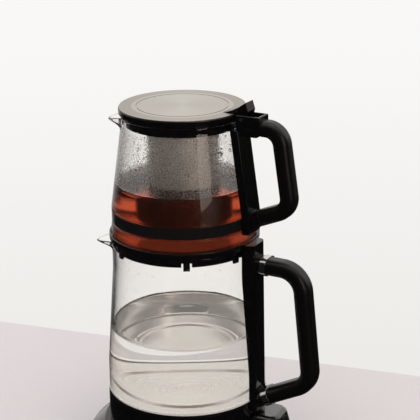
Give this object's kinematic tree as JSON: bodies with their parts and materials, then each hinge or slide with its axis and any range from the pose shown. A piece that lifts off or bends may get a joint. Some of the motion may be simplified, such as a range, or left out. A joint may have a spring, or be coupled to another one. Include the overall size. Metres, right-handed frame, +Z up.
{
  "type": "electric tea maker",
  "caption": "Two-tier electric tea maker: a glass teapot with hinged lid and steel strainer sits on a glass kettle with side handle and cordless power base.",
  "frame": {"origin": "on the table under the axis of the kettle and the teapot", "axes": "+Z up along the axis of the kettle and the teapot, +X from the axis through both handles"},
  "size_m": [0.2186, 0.1795, 0.3276],
  "materials": {
    "black_housing": "gloss",
    "black_grip": "satin",
    "clear_glass": "polished",
    "stainless_steel": "satin",
    "chrome_trim": "mirror",
    "fixing_steel": "plain",
    "black_rubber": "matte",
    "silicone_seal": "matte",
    "cast_aluminium": "cast",
    "contact_brass": "plain",
    "control_moulding": "matte",
    "circuit_board": "satin"
  },
  "bodies": {
    "base": {"base_shell": "black_housing", "base_plate": "black_housing", "rubber_feet": "black_rubber", "base_screws": "fixing_steel", "control_board": "circuit_board", "cord_gland": "black_housing", "base_connector": "black_housing", "base_contact_pin": "contact_brass", "control_pod": "black_housing", "control_switch": "black_housing"},
    "button": {"control_button": "black_grip"},
    "kettle": {"kettle_glass": "clear_glass", "kettle_skirt": "black_housing", "kettle_bottom_cover": "black_housing", "kettle_cover_screws": "fixing_steel", "glass_trim_ring": "stainless_steel", "glass_seal": "silicone_seal", "heating_plate": "stainless_steel", "heat_spreader": "cast_aluminium", "heating_element": "cast_aluminium", "kettle_thermostat": "control_moulding", "kettle_coupler": "black_housing", "kettle_spine": "black_housing", "handle_ferrule_upper": "chrome_trim", "handle_ferrule_lower": "chrome_trim", "kettle_handle": "black_grip", "kettle_handle_screw": "fixing_steel"},
    "seat_ring": {"seat_ring": "black_housing"},
    "teapot": {"teapot_glass": "clear_glass", "teapot_band": "black_housing", "band_screw": "fixing_steel", "teapot_spine": "black_housing", "teapot_handle": "black_grip", "lid_hinge_pin": "fixing_steel"},
    "strainer": {"strainer_collar": "black_housing", "strainer_basket": "stainless_steel"},
    "lid": {"lid_cap": "black_housing", "lid_plate": "stainless_steel", "lid_gasket": "silicone_seal"}
  },
  "joints": [
    {"name": "button_press", "type": "slide", "parent": "base", "child": "button", "axis": [-0.9576, -0.0838, -0.2756], "range_m": [0, 0.0025], "stiffness_N_per_m": 600, "springref_m": -0.001},
    {"name": "kettle_lift", "type": "slide", "parent": "base", "child": "kettle", "axis": [0, 0, 1], "range_m": [0, 0.12]},
    {"name": "seat_ring_lift", "type": "slide", "parent": "kettle", "child": "seat_ring", "axis": [0, 0, 1], "range_m": [0, 0.04]},
    {"name": "teapot_lift", "type": "slide", "parent": "seat_ring", "child": "teapot", "axis": [0, 0, 1], "range_m": [0, 0.12]},
    {"name": "strainer_turn", "type": "hinge", "parent": "teapot", "child": "strainer", "pos_m": [0, 0, 0.301], "axis": [0, 0, 1], "continuous": true},
    {"name": "lid_hinge", "type": "hinge", "parent": "teapot", "child": "lid", "pos_m": [0.0605, 0, 0.3135], "axis": [0, 1, 0], "range_deg": [0, 75]}
  ]
}
